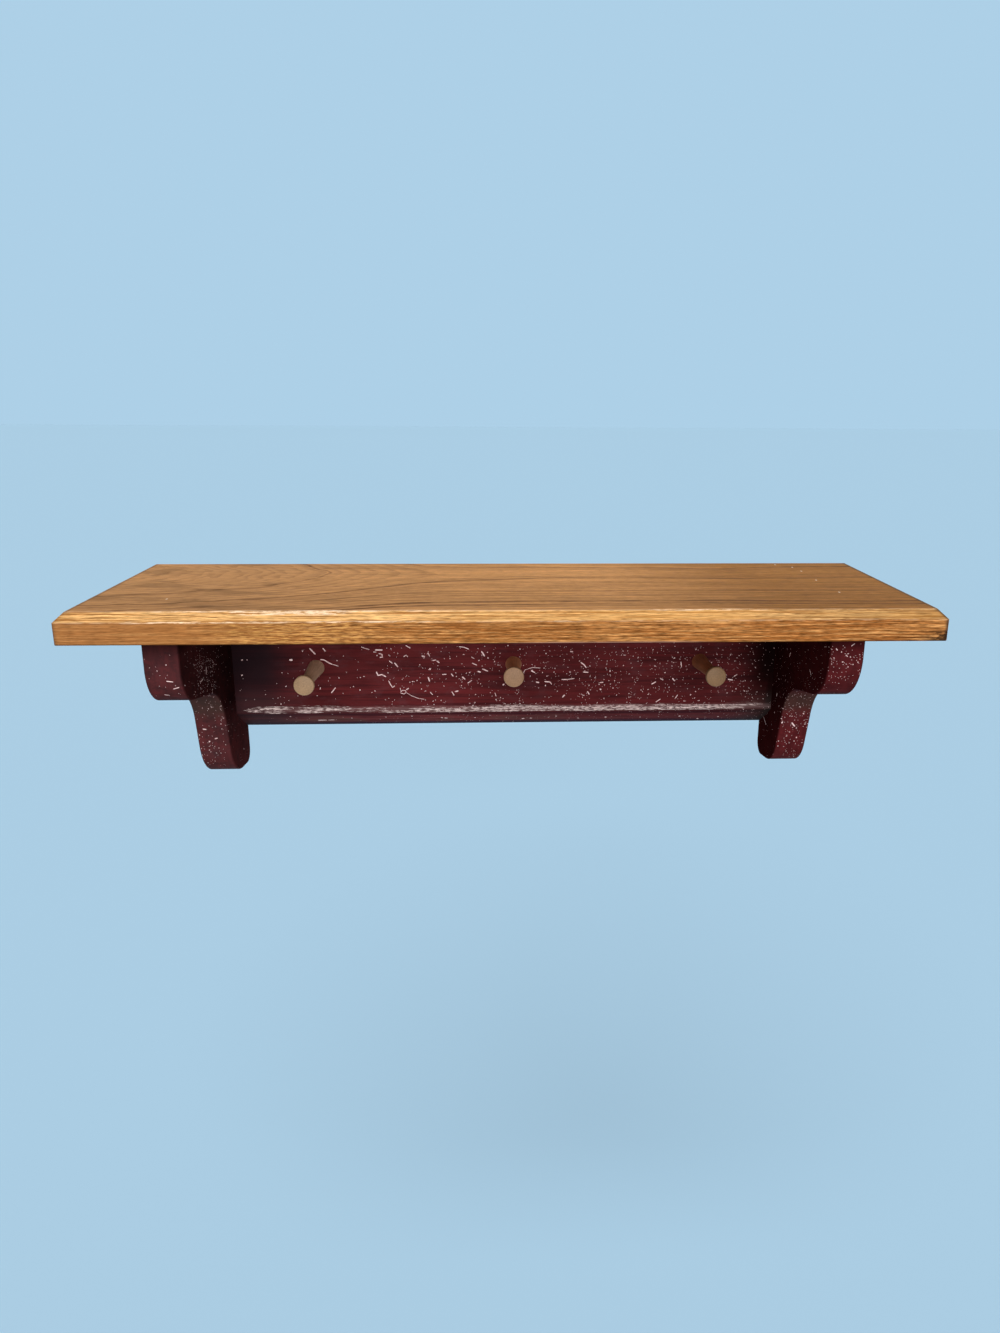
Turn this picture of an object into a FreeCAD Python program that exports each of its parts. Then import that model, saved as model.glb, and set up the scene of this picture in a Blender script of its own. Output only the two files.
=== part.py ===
import FreeCAD, Part
import math
import os

# A wall shelf with three turned pegs. A chamfered top stands on two shaped brackets, and a peg
# board between them lies against the wall. The shelf hangs on two wall screws.
# X runs along the shelf, Y into the wall and Z up. The origin lies on the wall, midway between
# the entry holes of the two keyhole plates. All lengths are in millimetres.

# Top board
top_length = 610.0
top_depth = 190.0
top_thickness = 22.0
top_chamfer = 6.5
top_arris = 0.8
top_rise = 62.0  # upper face above the wall screws

# Brackets
top_overhang = 47.5  # of the top past each bracket
bracket_thickness = 25.5
bracket_depth = 165.0
bracket_arris = 1.2
tongue_slope = 12.0  # degrees below level, from the nose to the cove
heel_radius = 11.0

# Both brackets were cut by hand, so each has its own curves and its own height
left_nose_face = 25.0  # height of the upright front face
left_nose_radius = 30.0
left_cove_radius = 40.0
left_leg_depth = 67.0  # at the lower end of the cove
left_leg_height = 61.8  # from there down to the foot, at the wall
left_leg_slope = 11.0  # degrees off upright
left_toe_radius = 40.0
left_foot_slope = 6.5  # degrees that the foot falls towards the wall
right_nose_face = 18.0
right_nose_radius = 39.0
right_cove_radius = 46.0
right_leg_depth = 65.0
right_leg_height = 59.2
right_leg_slope = 16.5
right_toe_radius = 34.0
right_foot_slope = 9.0

# Peg board, with a wide crowned bevel along its lower front edge
peg_board_thickness = 34.0
peg_board_height = 123.0
bevel_height = 21.3
bevel_land = 2.5  # flat left at the foot, against the wall
bevel_crown = 0.8
peg_board_arris = 2.0

# Turned pegs
peg_reach = 53.0  # from the board to the end of the head
peg_base_radius = 6.9
peg_neck_radius = 4.8
peg_head_radius = 8.2
peg_head_rim = 3.6  # length of the head's straight rim
peg_head_flare = 4.6  # length over which the neck opens into the head
peg_neck_length = 6.0  # straight stretch behind the head
peg_crown = 1.4  # how far the end bulges
peg_rim_radius = 0.9
peg_taper_share = 0.36  # of the taper left halfway along it
peg_flare_shares = (0.3, 0.7)  # of the flare's rise and run, where its curve passes
peg_tenon_radius = 5.0
peg_tenon_length = 12.5
# Where each peg stands, as shares of half the board's length and of its height downward
peg_place_shares = {
    "peg_left": (-0.6994, 0.4969),
    "peg_middle": (0.0231, 0.4789),
    "peg_right": (0.7180, 0.4681),
}
# How far each one was drilled off square, in degrees upward and to the right
peg_angles = {"peg_left": (-0.2, -1.0), "peg_middle": (3.8, -0.9), "peg_right": (1.3, 3.0)}

# Dowels
dowel_radius = 4.0
dowel_length = 30.0
dowel_bevel = 1.0
dowel_end_gap = 1.0  # room for glue past each end
dowel_share = 0.4  # of its length, in the top or in a bracket; the rest is in the other piece
bracket_dowel_shares = (0.24, 0.78)  # of the bracket's depth
rail_dowel_shares = (0.2, 0.8)  # of the peg board's height
rail_dowel_depth_share = 0.64  # of its thickness
board_dowel_shares = (-0.62, 0.0, 0.62)  # of half the peg board's length

# Screws of the keyhole plates
plate_screw_radius = 1.5
plate_screw_head_radius = 2.8
plate_screw_length = 14.0
screw_sink = 0.2  # heads lie this far below the back
screw_point_share = 0.25  # of a screw's length
recess_width_share = 0.15  # half the cross recess's width, of the head's radius
recess_span_share = 0.62  # half its span
recess_depth_share = 0.5

# Keyhole plates
plate_width = 14.0
plate_length = 46.0
plate_thickness = 1.6
plate_rise = 6.0  # the plate's middle above the entry hole
plate_screw_spacing = 36.0
entry_radius = 5.0
slot_radius = 2.4
slot_rise = 12.0
pocket_radius = 6.0
pocket_depth = 7.0  # behind the plate, for the wall screw's head

# Fits
fit_gap = 0.1  # round every dowel, tenon and screw
plate_gap = 0.15  # round the plates
overrun = 1.0  # of every cut past the face that it starts from

# Heights and depths that the pieces share
half_spacing = top_length / 2 - top_overhang - bracket_thickness
bracket_middle = half_spacing + bracket_thickness / 2
under_top = top_rise - top_thickness
peg_board_foot = under_top - peg_board_height

# The side views of the two brackets
bracket_shapes = {
    "left": {
        "nose_face": left_nose_face,
        "nose_radius": left_nose_radius,
        "cove_radius": left_cove_radius,
        "leg_depth": left_leg_depth,
        "leg_height": left_leg_height,
        "leg_slope": left_leg_slope,
        "toe_radius": left_toe_radius,
        "foot_slope": left_foot_slope,
    },
    "right": {
        "nose_face": right_nose_face,
        "nose_radius": right_nose_radius,
        "cove_radius": right_cove_radius,
        "leg_depth": right_leg_depth,
        "leg_height": right_leg_height,
        "leg_slope": right_leg_slope,
        "toe_radius": right_toe_radius,
        "foot_slope": right_foot_slope,
    },
}

rightward = FreeCAD.Vector(1, 0, 0)
into_wall = FreeCAD.Vector(0, 1, 0)
upward = FreeCAD.Vector(0, 0, 1)
origin = FreeCAD.Vector(0, 0, 0)


def block(x_range, y_range, z_range):
    """A box between two values on each axis."""
    ranges = (x_range, y_range, z_range)
    low = FreeCAD.Vector(*[start for start, end in ranges])
    return Part.makeBox(*[end - start for start, end in ranges], low)


def outline(points, arcs):
    """A face inside a ring of points. arcs maps the place in the ring of an arc's first point
    to the point that the arc passes; every other edge is straight."""
    edges = []
    for place, start in enumerate(points):
        end = points[(place + 1) % len(points)]
        if place in arcs:
            edges.append(Part.Arc(start, arcs[place], end).toShape())
        else:
            edges.append(Part.makeLine(start, end))
    return Part.Face(Part.Wire(edges))


def turned(points, arcs):
    """A solid turned about the Y axis. Points are pairs of radius and place along Y."""
    ring = [FreeCAD.Vector(radius, along, 0) for radius, along in points]
    passed = {place: FreeCAD.Vector(radius, along, 0) for place, (radius, along) in arcs.items()}
    return outline(ring, passed).revolve(origin, into_wall)


def side_point(centre, radius, angle):
    """A point on a circle in the side view, at an angle in degrees from the wall's direction."""
    turn = math.radians(angle)
    return centre + FreeCAD.Vector(0, radius * math.cos(turn), radius * math.sin(turn))


def near(value, wanted):
    """Whether two places agree to within the gap of a fit."""
    return math.isclose(value, wanted, abs_tol=fit_gap)


def edges_where(shape, test):
    """The edges of a shape whose middle point passes a test."""
    return [edge for edge in shape.Edges if test(edge.CenterOfMass)]


def cut_all(shape, tools):
    """A shape less every one of the tools."""
    for tool in tools:
        shape = shape.cut(tool)
    return shape


def on_side(shape, side):
    """A piece made for the right end, at the end that is asked for."""
    return shape if side == "right" else shape.mirror(origin, rightward)


# Dowels

def bracket_dowel_mouths():
    """Where the upright dowels of the right bracket cross from it into the top."""
    return {
        row: FreeCAD.Vector(bracket_middle, -share * bracket_depth, under_top)
        for row, share in zip(("back", "front"), bracket_dowel_shares)
    }


def board_dowel_mouths():
    """Where the upright dowels of the peg board cross from it into the top."""
    return {
        spot: FreeCAD.Vector(share * half_spacing, -peg_board_thickness / 2, under_top)
        for spot, share in zip(("left", "middle", "right"), board_dowel_shares)
    }


def rail_dowel_mouths():
    """Where the level dowels cross from the peg board into the right bracket."""
    y = -rail_dowel_depth_share * peg_board_thickness
    return {
        row: FreeCAD.Vector(half_spacing, y, under_top - share * peg_board_height)
        for row, share in zip(("upper", "lower"), rail_dowel_shares)
    }


def dowel(mouth, direction):
    """A bevelled dowel across a joint; dowel_share of it stands beyond the mouth."""
    start = mouth - direction * (dowel_length * (1 - dowel_share))
    pin = Part.makeCylinder(dowel_radius, dowel_length, start, direction)
    rims = [edge for edge in pin.Edges if edge.isClosed()]
    return pin.makeChamfer(dowel_bevel, rims)


def dowel_hole(mouth, direction):
    """The hole for the stretch of a dowel that lies beyond the mouth in this direction."""
    beyond = dowel_share if direction in (upward, rightward) else 1 - dowel_share
    depth = dowel_length * beyond + dowel_end_gap
    start = mouth - direction * overrun
    return Part.makeCylinder(dowel_radius + fit_gap, depth + overrun, start, direction)


# Screws, driven from the back towards the room

screw_neck = -screw_sink - (plate_screw_head_radius - plate_screw_radius)


def plate_screw(place):
    """A countersunk wood screw with a cross recess."""
    point = -plate_screw_length * (1 - screw_point_share)
    ring = [
        (0, -screw_sink),
        (plate_screw_head_radius, -screw_sink),
        (plate_screw_radius, screw_neck),
        (plate_screw_radius, point),
        (0, -plate_screw_length),
    ]
    shape = turned(ring, {})
    half_width = recess_width_share * plate_screw_head_radius
    half_span = recess_span_share * plate_screw_head_radius
    floor = -screw_sink - recess_depth_share * plate_screw_head_radius
    for half_x, half_z in ((half_width, half_span), (half_span, half_width)):
        shape = shape.cut(block((-half_x, half_x), (floor, overrun), (-half_z, half_z)))
    shape.translate(place)
    return shape


def plate_screw_hole(place):
    """The countersunk hole that such a screw fills."""
    wide = plate_screw_head_radius + fit_gap
    narrow = plate_screw_radius + fit_gap
    end = -plate_screw_length - fit_gap
    ring = [(0, overrun), (wide, overrun), (wide, -screw_sink), (narrow, screw_neck)]
    shape = turned(ring + [(narrow, end), (0, end)], {})
    shape.translate(place)
    return shape


def plate_screw_places():
    """The screws of the right keyhole plate."""
    half = plate_screw_spacing / 2
    return {
        row: FreeCAD.Vector(bracket_middle, 0, plate_rise + offset)
        for row, offset in (("upper", half), ("lower", -half))
    }


# Keyhole plates and what is cut for them

def obround(radius, low, high, y_range):
    """A block with round ends about the right plate's upright line, between two end centres."""
    x = bracket_middle
    depth = y_range[1] - y_range[0]
    shape = block((x - radius, x + radius), y_range, (low, high))
    for z in (low, high):
        end = Part.makeCylinder(radius, depth, FreeCAD.Vector(x, y_range[0], z), into_wall)
        shape = shape.fuse(end)
    return shape.removeSplitter()


def plate_outline(gap, y_range):
    """The plate's outer shape, with a gap all round."""
    half = plate_length / 2 - plate_width / 2
    return obround(plate_width / 2 + gap, plate_rise - half, plate_rise + half, y_range)


def keyhole_plate():
    """A steel plate with a round entry hole and a slot above it."""
    through = (-plate_thickness - overrun, overrun)
    centre = FreeCAD.Vector(bracket_middle, through[0], 0)
    entry = Part.makeCylinder(entry_radius, through[1] - through[0], centre, into_wall)
    slot = obround(slot_radius, 0, slot_rise, through)
    holes = [plate_screw_hole(place) for place in plate_screw_places().values()]
    return cut_all(plate_outline(0, (-plate_thickness, 0)), [entry, slot, *holes])


def plate_cuts():
    """The recess for the plate, the pocket behind it and its screws' holes."""
    recess = plate_outline(plate_gap, (-plate_thickness, overrun))
    floor = -plate_thickness - pocket_depth
    pocket = obround(pocket_radius, 0, slot_rise, (floor, 0))
    holes = [plate_screw_hole(place) for place in plate_screw_places().values()]
    return [recess, pocket, *holes]


# Wooden pieces

def shelf_top():
    """The top board: upper edges chamfered at the front and both ends, arrises eased."""
    half = top_length / 2
    board = block((-half, half), (-top_depth, 0), (under_top, top_rise))
    upper = edges_where(board, lambda at: near(at.z, top_rise) and not near(at.y, 0))
    board = board.makeChamfer(top_chamfer, upper)
    board = board.makeFillet(top_arris, edges_where(board, lambda at: not near(at.y, 0)))
    mouths = list(board_dowel_mouths().values())
    for mouth in bracket_dowel_mouths().values():
        mouths += [mouth, FreeCAD.Vector(-mouth.x, mouth.y, mouth.z)]
    return cut_all(board, [dowel_hole(mouth, upward) for mouth in mouths])


def bracket_side(nose_face, nose_radius, cove_radius, leg_depth, leg_height, leg_slope,
                 toe_radius, foot_slope):
    """A bracket's side view: a round nose, a hollow cove and a leg with a round toe."""
    slope = math.radians(tongue_slope)
    lean = math.radians(leg_slope)
    fall = math.radians(foot_slope)
    nose = FreeCAD.Vector(0, nose_radius - bracket_depth, under_top - nose_face)
    nose_end = side_point(nose, nose_radius, 270 - tongue_slope)
    cove = FreeCAD.Vector(0, -leg_depth - cove_radius * math.cos(lean), 0)
    tongue_run = cove.y + cove_radius * math.sin(slope) - nose_end.y
    cove.z = nose_end.z - tongue_run * math.tan(slope) - cove_radius * math.cos(slope)
    leg_top = side_point(cove, cove_radius, leg_slope)
    foot = leg_top.z - leg_height
    # The leg's front and the foot, drawn on, meet at a corner, which the toe rounds off
    corner_y = leg_top.y + (leg_top.z - foot) * math.tan(lean)
    corner_y /= 1 - math.tan(lean) * math.tan(fall)
    corner = FreeCAD.Vector(0, corner_y, foot - corner_y * math.tan(fall))
    toe_run = toe_radius * math.tan((math.pi / 2 - lean - fall) / 2)
    toe = corner + FreeCAD.Vector(0, toe_run * math.cos(fall), -toe_run * math.sin(fall))
    toe += FreeCAD.Vector(0, toe_radius * math.sin(fall), toe_radius * math.cos(fall))
    heel_rise = heel_radius / math.cos(fall) + heel_radius * math.tan(fall)
    heel = FreeCAD.Vector(0, -heel_radius, foot + heel_rise)
    curves = [
        (nose, nose_radius, 180, 270 - tongue_slope),
        (cove, cove_radius, 90 - tongue_slope, leg_slope),
        (toe, toe_radius, 180 + leg_slope, 270 - foot_slope),
        (heel, heel_radius, 270 - foot_slope, 360),
    ]
    ring = [FreeCAD.Vector(0, -bracket_depth, under_top)]
    arcs = {}
    for centre, radius, first, last in curves:
        arcs[len(ring)] = side_point(centre, radius, (first + last) / 2)
        ring += [side_point(centre, radius, first), side_point(centre, radius, last)]
    return outline(ring + [FreeCAD.Vector(0, 0, under_top)], arcs)


def bracket(side):
    """A bracket, made at the right end, with its arrises eased and every hole that it needs."""
    face = bracket_side(**bracket_shapes[side])
    face.translate(rightward * half_spacing)
    shape = face.extrude(rightward * bracket_thickness)
    outer = half_spacing + bracket_thickness
    eased = edges_where(
        shape,
        lambda at: (near(at.x, half_spacing) or near(at.x, outer))
        and not near(at.z, under_top)
        and not near(at.y, 0),
    )
    shape = shape.makeFillet(bracket_arris, eased)
    holes = [dowel_hole(mouth, -upward) for mouth in bracket_dowel_mouths().values()]
    holes += [dowel_hole(mouth, rightward) for mouth in rail_dowel_mouths().values()]
    return cut_all(shape, holes + plate_cuts())


def peg_board_side():
    """The peg board's side view, with its lower front edge bevelled and slightly crowned."""
    corners = (
        (0, under_top),
        (-peg_board_thickness, under_top),
        (-peg_board_thickness, peg_board_foot + bevel_height),
        (-bevel_land, peg_board_foot),
        (0, peg_board_foot),
    )
    ring = [FreeCAD.Vector(0, y, z) for y, z in corners]
    slant = ring[3] - ring[2]
    outward = FreeCAD.Vector(0, slant.z, -slant.y).normalize()
    return outline(ring, {2: (ring[2] + ring[3]) / 2 + outward * bevel_crown})


def peg_board():
    """The board between the brackets, bored for the pegs and the dowels."""
    face = peg_board_side()
    face.translate(-rightward * half_spacing)
    board = face.extrude(rightward * (2 * half_spacing))
    bevel_top = peg_board_foot + bevel_height
    worn = edges_where(
        board,
        lambda at: near(at.x, 0) and near(at.y, -peg_board_thickness) and near(at.z, bevel_top),
    )
    board = board.makeFillet(peg_board_arris, worn)
    holes = [dowel_hole(mouth, -upward) for mouth in board_dowel_mouths().values()]
    for mouth in rail_dowel_mouths().values():
        end_hole = dowel_hole(mouth, -rightward)
        holes += [end_hole, on_side(end_hole, "left")]
    for name in peg_place_shares:
        base, direction = peg_axis(name)
        start = base + direction * peg_base_radius
        depth = peg_base_radius + peg_tenon_length + fit_gap
        holes.append(Part.makeCylinder(peg_tenon_radius + fit_gap, depth, start, -direction))
    return cut_all(board, holes)


def peg_axis(name):
    """Where a peg's axis leaves the peg board, and the direction in which it points."""
    across, down = peg_place_shares[name]
    rise, lean = peg_angles[name]
    z = under_top - down * peg_board_height
    base = FreeCAD.Vector(across * half_spacing, -peg_board_thickness, z)
    turn = FreeCAD.Rotation(upward, lean) * FreeCAD.Rotation(rightward, -rise)
    return base, turn.multVec(-into_wall)


def peg(name):
    """A turned peg: a tapered stem, a thin neck and a flat round head, on a tenon."""
    base, direction = peg_axis(name)
    rim_front = peg_reach - peg_crown
    rim_back = rim_front - peg_head_rim
    flare_start = rim_back - peg_head_flare
    neck_start = flare_start - peg_neck_length
    flare_rise = peg_head_radius - peg_neck_radius
    taper_left = peg_taper_share * (peg_base_radius - peg_neck_radius)
    ring = [
        (0, peg_base_radius),
        (peg_base_radius, peg_base_radius),
        (peg_base_radius, 0),
        (peg_neck_radius, -neck_start),
        (peg_neck_radius, -flare_start),
        (peg_head_radius, -rim_back),
        (peg_head_radius, -rim_front),
        (0, -peg_reach),
    ]
    arcs = {
        2: (peg_neck_radius + taper_left, -neck_start / 2),
        4: (
            peg_neck_radius + peg_flare_shares[0] * flare_rise,
            -flare_start - peg_flare_shares[1] * peg_head_flare,
        ),
        6: (peg_head_radius / 2, -peg_reach + peg_crown / 4),
    }
    shape = turned(ring, arcs)
    rims = [
        edge
        for edge in shape.Edges
        if edge.isClosed() and near(edge.BoundBox.XMax, peg_head_radius)
    ]
    shape = shape.makeFillet(peg_rim_radius, rims)
    turn = FreeCAD.Rotation(-into_wall, direction)
    shape.Placement = FreeCAD.Placement(base, turn)
    behind = block(
        (base.x - peg_reach, base.x + peg_reach),
        (base.y, base.y + peg_reach),
        (base.z - peg_reach, base.z + peg_reach),
    )
    start = base - direction * peg_tenon_length
    tenon_run = peg_tenon_length + peg_base_radius
    tenon = Part.makeCylinder(peg_tenon_radius, tenon_run, start, direction)
    return shape.cut(behind).fuse(tenon).removeSplitter()


nodes = {
    "shelf_top": shelf_top(),
    "peg_board": peg_board(),
}
for name in peg_place_shares:
    nodes[name] = peg(name)
for spot, mouth in board_dowel_mouths().items():
    nodes[f"board_dowel_{spot}"] = dowel(mouth, upward)
for side in ("left", "right"):
    nodes[f"bracket_{side}"] = on_side(bracket(side), side)
    nodes[f"keyhole_plate_{side}"] = on_side(keyhole_plate(), side)
    for row, mouth in bracket_dowel_mouths().items():
        nodes[f"bracket_dowel_{side}_{row}"] = on_side(dowel(mouth, upward), side)
    for row, mouth in rail_dowel_mouths().items():
        nodes[f"rail_dowel_{side}_{row}"] = on_side(dowel(mouth, rightward), side)
    for row, place in plate_screw_places().items():
        nodes[f"plate_screw_{side}_{row}"] = on_side(plate_screw(place), side)

os.makedirs("parts", exist_ok=True)
for name, shape in nodes.items():
    shape.exportStep(f"parts/{name}.step")
    print(f"{name}: {len(shape.Solids)} solid, {shape.Volume:.1f} mm3, valid {shape.isValid()}")
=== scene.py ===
import math
import random
from types import SimpleNamespace

import bpy
from mathutils import Matrix, Vector


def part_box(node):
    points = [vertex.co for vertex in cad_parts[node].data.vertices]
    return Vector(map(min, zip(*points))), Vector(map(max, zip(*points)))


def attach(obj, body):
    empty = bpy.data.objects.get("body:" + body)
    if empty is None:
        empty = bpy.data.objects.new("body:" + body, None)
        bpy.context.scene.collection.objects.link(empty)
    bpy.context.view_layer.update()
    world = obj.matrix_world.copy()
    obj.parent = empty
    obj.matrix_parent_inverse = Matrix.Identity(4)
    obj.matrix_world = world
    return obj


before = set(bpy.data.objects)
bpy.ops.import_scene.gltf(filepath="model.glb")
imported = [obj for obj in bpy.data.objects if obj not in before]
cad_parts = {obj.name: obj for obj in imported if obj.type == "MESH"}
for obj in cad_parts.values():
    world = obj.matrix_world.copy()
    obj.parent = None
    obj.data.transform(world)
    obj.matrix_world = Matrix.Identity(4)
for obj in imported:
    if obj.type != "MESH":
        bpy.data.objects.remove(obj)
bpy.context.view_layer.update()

# Sizes of the object in metres, read from the frame
top_low, top_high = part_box("shelf_top")
rail_low, rail_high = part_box("peg_board")
bracket_low, bracket_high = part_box("bracket_left")
board_half = top_high.x
board_depth = top_high.y - top_low.y
rail_half = rail_high.x
bracket_half = -bracket_low.x  # to the brackets' outer faces
top_chamfer = 0.0065
bevel_height = 0.0213  # of the peg board's lower edge
arris_z = rail_low.z + bevel_height

# The photograph's frame and the camera that took it
photo_width = 1000
photo_height = 1333
focal_pixels = 955.4
axis_pixels_right = 40  # the lens axis, right of the frame's middle
camera_place = Vector((-0.0115, -0.8224, 0.2053))
camera_yaw = math.radians(2.88)
camera_pitch = math.radians(-16.02)
camera_roll = math.radians(0.41)
sensor_width = 36
pixel_size = 0.00087  # what one pixel spans on the peg board
mark_blur_share = 0.55  # of a mark's width in the photograph; the rest is blur

# Plain studio
floor_height = -0.85
floor_half_size = 30
pale_background = (0.42, 0.63, 0.80, 1)
floor_colour = (0.42, 0.64, 0.83, 1)
floor_bounce = (0.34, 0.33, 0.32, 1)  # as the object's own surfaces are lit by it
ambient_strength = 0.34

# Lamps: elevation and azimuth in degrees, strength, spread in degrees and colour. Azimuth 0 shines
# from the front, and a positive one from the right
lamps = {
    "key": (50, -12, 1.65, 40, (1.0, 0.97, 0.92)),
    "fill": (8, 3, 2.1, 36, (1.0, 0.98, 0.95)),
    "back": (30, 165, 0.8, 60, (1.0, 0.99, 0.97)),
}

# Drops of paint: how high they stand and how far they reach into what carries them
drop_height = 0.00022
drop_sink = 0.00012
smallest_drop = 0.22  # half its width, in pixels of the photograph
drop_stretch_shares = (0.05, 0.3)  # of its half width, to either side
drop_width_shares = (0.82, 1.12)

# Fine flecks of paint: one at most to a cell, up to this radius
fleck_cell = 0.0030
fleck_radius = 0.00042

# How deep the fine relief of each surface is
grain_depth = 0.0004
brush_depth = 0.0004
turned_depth = 0.0003
smooth_depth = 0.0002

faint_specular = 0.012  # of the stained and the painted wood


def camera_frame():
    """The camera's right, up and forward directions."""
    forward = Vector(
        (
            math.sin(camera_yaw) * math.cos(camera_pitch),
            math.cos(camera_yaw) * math.cos(camera_pitch),
            math.sin(camera_pitch),
        )
    )
    level_right = Vector((math.cos(camera_yaw), -math.sin(camera_yaw), 0))
    level_up = level_right.cross(forward)
    right = math.cos(camera_roll) * level_right + math.sin(camera_roll) * level_up
    return right, right.cross(forward), forward


def make_camera():
    """The camera at the photograph's viewing angle."""
    data = bpy.data.cameras.new("camera")
    data.sensor_width = sensor_width
    data.lens = focal_pixels * sensor_width / photo_height
    data.shift_x = -axis_pixels_right / photo_height
    data.clip_end = 2 * floor_half_size
    camera = bpy.data.objects.new("camera", data)
    bpy.context.scene.collection.objects.link(camera)
    right, up, forward = camera_frame()
    turn = Matrix((right, up, -forward)).transposed()
    camera.matrix_world = Matrix.Translation(camera_place) @ turn.to_4x4()
    bpy.context.scene.camera = camera


def seen_at(pixel, carrier):
    """The place and the normal that a pixel of the photograph shows on an object, if any."""
    right, up, forward = camera_frame()
    across = (pixel[0] - photo_width / 2 - axis_pixels_right) / focal_pixels
    down = (pixel[1] - photo_height / 2) / focal_pixels
    ray = (forward + right * across - up * down).normalized()
    hit, place, normal, face = carrier.ray_cast(camera_place, ray)
    return (place, normal) if hit else None


def make_lamp(name, elevation, azimuth, strength, spread, colour):
    """A broad soft light."""
    data = bpy.data.lights.new(name, "SUN")
    data.energy = strength
    data.angle = math.radians(spread)
    data.color = colour
    light = bpy.data.objects.new(name, data)
    rise = math.radians(elevation)
    turn = math.radians(azimuth)
    source = Vector(
        (math.sin(turn) * math.cos(rise), -math.cos(turn) * math.cos(rise), math.sin(rise))
    )
    light.rotation_euler = source.to_track_quat("Z", "Y").to_euler()
    bpy.context.scene.collection.objects.link(light)


def opaque(colour):
    """A colour with its cover, where it is given as red, green and blue alone."""
    return (*colour, 1) if isinstance(colour, tuple) and len(colour) == 3 else colour


class Value:
    """A number, a place or a colour that varies over a surface, as the output of a node."""

    def __init__(self, nodes, socket):
        self.nodes = nodes
        self.socket = socket

    def math(self, operation, *others):
        """What an operation makes of this and other values."""
        inputs = dict(enumerate((self, *others)))
        return self.nodes.value("ShaderNodeMath", inputs, operation=operation)

    def __add__(self, other):
        return self.math("ADD", other)

    def __sub__(self, other):
        return self.math("SUBTRACT", other)

    def __rsub__(self, other):
        return self * -1.0 + other

    def __mul__(self, other):
        return self.math("MULTIPLY", other)

    def __truediv__(self, other):
        return self.math("DIVIDE", other)

    def __abs__(self):
        return self.math("ABSOLUTE")

    __radd__ = __add__

    def largest(self, other):
        return self.math("MAXIMUM", other)

    def share(self, start, end):
        """0 at start and 1 at end, and on in a straight line past both."""
        return (self - start) / (end - start)

    def step(self, start, end):
        """0 at start and 1 at end, smooth between them; start may be the larger of the two."""
        inputs = {"Value": self, "From Min": start, "From Max": end}
        return self.nodes.value("ShaderNodeMapRange", inputs, interpolation_type="SMOOTHSTEP")

    def ramp(self, start, end, first, last):
        """Runs from first to last as this runs from start to end."""
        inputs = {"Value": self, "From Min": start, "From Max": end, "To Min": first, "To Max": last}
        return self.nodes.value("ShaderNodeMapRange", inputs)

    def between(self, first, last):
        """Runs from first to last as this share runs from 0 to 1."""
        return self.ramp(0.0, 1.0, first, last)

    def band(self, middle, half_width):
        """1 where this is at the middle and 0 where it is half_width or more off it."""
        return abs(self - middle).step(half_width, 0.0)

    def within(self, low, high, blur):
        """1 between two values and 0 outside them."""
        return self.step(low - blur, low + blur) * self.step(high + blur, high - blur)

    def by_side(self, left, right):
        """One value where this X is left of the middle, and another right of it."""
        return self.math("GREATER_THAN", 0.0).between(left, right)

    def parts(self):
        """The X, Y and Z of this place, or the red, green and blue of this colour."""
        made = self.nodes.add("ShaderNodeSeparateXYZ", {0: self})
        return [Value(self.nodes, socket) for socket in made.outputs]

    def scaled(self, x, y, z):
        inputs = {0: self, 1: (x, y, z)}
        return self.nodes.value("ShaderNodeVectorMath", inputs, operation="MULTIPLY")

    def distance(self, other):
        inputs = {0: self, 1: other}
        return self.nodes.value("ShaderNodeVectorMath", inputs, "Value", operation="DISTANCE")

    def noise(self, x, y, z, detail=3.0, roughness=0.6, distortion=0.0):
        """Noise with a mean of about a half, and so many lumps to a metre along X, Y and Z."""
        inputs = {
            "Vector": self.scaled(x, y, z),
            "Scale": 1.0,
            "Detail": detail,
            "Roughness": roughness,
            "Distortion": distortion,
        }
        return self.nodes.value("ShaderNodeTexNoise", inputs, "Fac")

    def grain(self, along, across, *settings):
        """Noise with so many lumps to a metre along X, and so many across it."""
        return self.noise(along, across, across, *settings)

    def mix(self, first, second):
        """Mixes two colours by this share."""
        inputs = {0: self, 6: opaque(first), 7: opaque(second)}
        return self.nodes.value("ShaderNodeMix", inputs, 2, data_type="RGBA")

    def tone(self, colour):
        """A colour times this factor."""
        inputs = {0: colour, 3: self}
        return self.nodes.value("ShaderNodeVectorMath", inputs, operation="SCALE")

    def bump(self, strength, depth):
        """The normal of a surface that has this relief."""
        inputs = {"Height": self, "Strength": strength, "Distance": depth}
        return self.nodes.value("ShaderNodeBump", inputs)


class Nodes:
    """A node tree, with a short way to add nodes and join them."""

    def __init__(self, tree):
        self.tree = tree
        tree.nodes.clear()

    def add(self, kind, inputs=None, **settings):
        """Adds a node. An input is a plain value, or a Value that is joined to it."""
        made = self.tree.nodes.new(kind)
        for name, value in settings.items():
            setattr(made, name, value)
        for name, value in (inputs or {}).items():
            if isinstance(value, Value):
                self.tree.links.new(value.socket, made.inputs[name])
            else:
                made.inputs[name].default_value = value
        return made

    def value(self, kind, inputs=None, output=0, **settings):
        """Adds a node and gives one of its outputs."""
        return Value(self, self.add(kind, inputs, **settings).outputs[output])

    def place(self):
        """The place on the object."""
        return self.value("ShaderNodeTexCoord", output="Object")

    def finish(self, colour, roughness, specular, normal, metallic=0.0):
        """Ends the tree in one principled shader."""
        inputs = {
            "Base Color": colour,
            "Roughness": roughness,
            "Specular IOR Level": specular,
            "Normal": normal,
            "Metallic": metallic,
        }
        shader = self.value("ShaderNodeBsdfPrincipled", inputs)
        self.add("ShaderNodeOutputMaterial", {"Surface": shader})


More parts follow.
